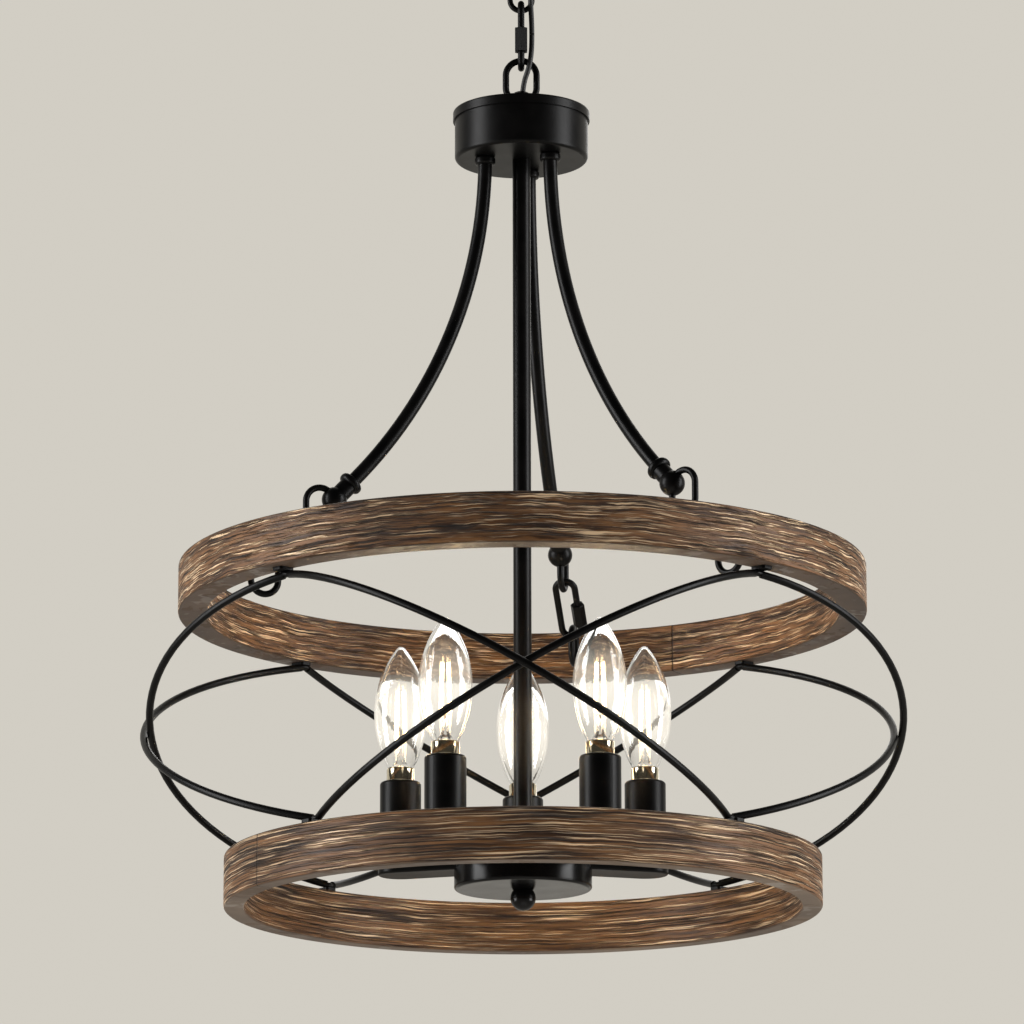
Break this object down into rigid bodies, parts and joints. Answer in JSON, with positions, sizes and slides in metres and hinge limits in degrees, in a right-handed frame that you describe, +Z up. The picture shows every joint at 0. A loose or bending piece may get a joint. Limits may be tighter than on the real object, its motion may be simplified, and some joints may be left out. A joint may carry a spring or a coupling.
{
  "type": "multi arm chandelier",
  "caption": "Candle chandelier with two wood-grain rings in an open wire cage, hung by quick links from curved arms under a chain, rod and ceiling canopy.",
  "frame": {"origin": "middle of the mounting crossbar's top face, in the ceiling plane", "axes": "+Z up to the ceiling, -Y to the front, +X to the right seen from the front"},
  "size_m": [0.5102, 0.5102, 0.7123],
  "materials": {
    "black_metal": "satin",
    "ring_wood": "satin",
    "bulb_glass": "clear",
    "bulb_metal": "polished",
    "zinc_steel": "zinc plated",
    "ground_screw": "satin",
    "lead_black": "matte",
    "holder_plastic": "matte",
    "connector_plastic": "matte"
  },
  "bodies": {
    "canopy": {"ceiling_canopy": "black_metal", "mounting_crossbar": "zinc_steel", "crossbar_studs": "zinc_steel", "canopy_ball_nuts": "black_metal", "ground_screw": "ground_screw", "canopy_loop": "black_metal", "canopy_nipple": "zinc_steel", "canopy_lock_nut": "zinc_steel", "canopy_wire_connectors": "connector_plastic"},
    "chain_link": {"chain_link": "black_metal"},
    "top_quick_link": {"top_quick_link": "black_metal", "supply_cord": "lead_black"},
    "top_link_sleeve": {"top_link_sleeve": "black_metal"},
    "fixture": {"hub_loop": "black_metal", "hub_nipple": "zinc_steel", "hub_lock_nut": "zinc_steel", "hub_lid": "black_metal", "hub_body": "black_metal", "arm_left": "black_metal", "arm_right": "black_metal", "arm_rear": "black_metal", "arm_collars": "black_metal", "arm_lock_nuts": "zinc_steel", "arm_end_balls": "black_metal", "centre_rod": "black_metal", "rod_lock_nuts": "zinc_steel", "rod_lead": "lead_black", "candle_hub": "black_metal", "candle_hub_cover": "black_metal", "ball_finial": "black_metal", "candle_arms": "black_metal", "socket_cups": "black_metal", "lamp_holders": "holder_plastic", "holder_nipples": "zinc_steel"},
    "cage": {"upper_ring": "ring_wood", "lower_ring": "ring_wood", "ring_eyes": "black_metal", "cage_wires_outer": "black_metal", "cage_wires_inner": "black_metal", "wire_tabs": "black_metal", "tab_screws": "black_metal"},
    "arm_loop_left": {"arm_loop_left": "black_metal"},
    "cage_link_left": {"cage_link_left": "black_metal"},
    "cage_sleeve_left": {"cage_sleeve_left": "black_metal"},
    "arm_loop_right": {"arm_loop_right": "black_metal"},
    "cage_link_right": {"cage_link_right": "black_metal"},
    "cage_sleeve_right": {"cage_sleeve_right": "black_metal"},
    "arm_loop_rear": {"arm_loop_rear": "black_metal"},
    "cage_link_rear": {"cage_link_rear": "black_metal"},
    "cage_sleeve_rear": {"cage_sleeve_rear": "black_metal"},
    "bulb_1": {"bulb_glass_1": "bulb_glass", "bulb_base_1": "bulb_metal"},
    "bulb_2": {"bulb_glass_2": "bulb_glass", "bulb_base_2": "bulb_metal"},
    "bulb_3": {"bulb_glass_3": "bulb_glass", "bulb_base_3": "bulb_metal"},
    "bulb_4": {"bulb_glass_4": "bulb_glass", "bulb_base_4": "bulb_metal"},
    "bulb_5": {"bulb_glass_5": "bulb_glass", "bulb_base_5": "bulb_metal"}
  },
  "joints": [
    {"name": "chain_link_swing", "type": "hinge", "parent": "canopy", "child": "chain_link", "pos_m": [0, 0, -0.0646], "axis": [0, 1, 0], "range_deg": [-25, 25]},
    {"name": "quick_link_swing", "type": "hinge", "parent": "chain_link", "child": "top_quick_link", "pos_m": [0, 0, -0.0915], "axis": [1, 0, 0], "range_deg": [-25, 25], "deforming": ["supply_cord"]},
    {"name": "hub_swing", "type": "hinge", "parent": "top_quick_link", "child": "fixture", "pos_m": [0, 0, -0.13575], "axis": [0, 1, 0], "range_deg": [-25, 25]},
    {"name": "top_sleeve_slide", "type": "slide", "parent": "top_quick_link", "child": "top_link_sleeve", "axis": [0, 0, 1], "range_m": [0, 0.0085]},
    {"name": "cage_twist", "type": "hinge", "parent": "fixture", "child": "cage", "pos_m": [0, 0, -0.48065], "axis": [0, 0, 1], "range_deg": [-2.5, 2.5]},
    {"name": "arm_loop_turn_left", "type": "hinge", "parent": "fixture", "child": "arm_loop_left", "pos_m": [-0.12475, -0.04174, -0.44266], "axis": [0, 0, 1], "range_deg": [-6, 6]},
    {"name": "cage_link_swing_left", "type": "hinge", "parent": "arm_loop_left", "child": "cage_link_left", "pos_m": [-0.14179, -0.04744, -0.46327], "axis": [-0.6764, -0.2263, 0.7009], "range_deg": [-6, 6]},
    {"name": "cage_sleeve_slide_left", "type": "slide", "parent": "cage_link_left", "child": "cage_sleeve_left", "axis": [0.6647, 0.2224, 0.7133], "range_m": [0, 0.0085]},
    {"name": "arm_loop_turn_right", "type": "hinge", "parent": "fixture", "child": "arm_loop_right", "pos_m": [0.09852, -0.08717, -0.44266], "axis": [0, 0, 1], "range_deg": [-6, 6]},
    {"name": "cage_link_swing_right", "type": "hinge", "parent": "arm_loop_right", "child": "cage_link_right", "pos_m": [0.11198, -0.09907, -0.46327], "axis": [0.5342, -0.4726, 0.7009], "range_deg": [-6, 6]},
    {"name": "cage_sleeve_slide_right", "type": "slide", "parent": "cage_link_right", "child": "cage_sleeve_right", "axis": [-0.525, 0.4644, 0.7133], "range_m": [0, 0.0085]},
    {"name": "arm_loop_turn_rear", "type": "hinge", "parent": "fixture", "child": "arm_loop_rear", "pos_m": [0.02623, 0.12891, -0.44266], "axis": [0, 0, 1], "range_deg": [-6, 6]},
    {"name": "cage_link_swing_rear", "type": "hinge", "parent": "arm_loop_rear", "child": "cage_link_rear", "pos_m": [0.02981, 0.14651, -0.46327], "axis": [0.1422, 0.6989, 0.7009], "range_deg": [-6, 6]},
    {"name": "cage_sleeve_slide_rear", "type": "slide", "parent": "cage_link_rear", "child": "cage_sleeve_rear", "axis": [-0.1397, -0.6868, 0.7133], "range_m": [0, 0.0085]},
    {"name": "bulb_out_1", "type": "slide", "parent": "fixture", "child": "bulb_1", "axis": [0, 0, 1], "range_m": [0, 0.025]},
    {"name": "bulb_out_2", "type": "slide", "parent": "fixture", "child": "bulb_2", "axis": [0, 0, 1], "range_m": [0, 0.025]},
    {"name": "bulb_out_3", "type": "slide", "parent": "fixture", "child": "bulb_3", "axis": [0, 0, 1], "range_m": [0, 0.025]},
    {"name": "bulb_out_4", "type": "slide", "parent": "fixture", "child": "bulb_4", "axis": [0, 0, 1], "range_m": [0, 0.025]},
    {"name": "bulb_out_5", "type": "slide", "parent": "fixture", "child": "bulb_5", "axis": [0, 0, 1], "range_m": [0, 0.025]}
  ],
  "couplings": [
    {"joint": "arm_loop_turn_left", "follows": "cage_twist", "ratio": 2.108},
    {"joint": "cage_link_swing_left", "follows": "cage_twist", "ratio": 2.108},
    {"joint": "arm_loop_turn_right", "follows": "cage_twist", "ratio": 2.108},
    {"joint": "cage_link_swing_right", "follows": "cage_twist", "ratio": 2.108},
    {"joint": "arm_loop_turn_rear", "follows": "cage_twist", "ratio": 2.108},
    {"joint": "cage_link_swing_rear", "follows": "cage_twist", "ratio": 2.108}
  ]
}
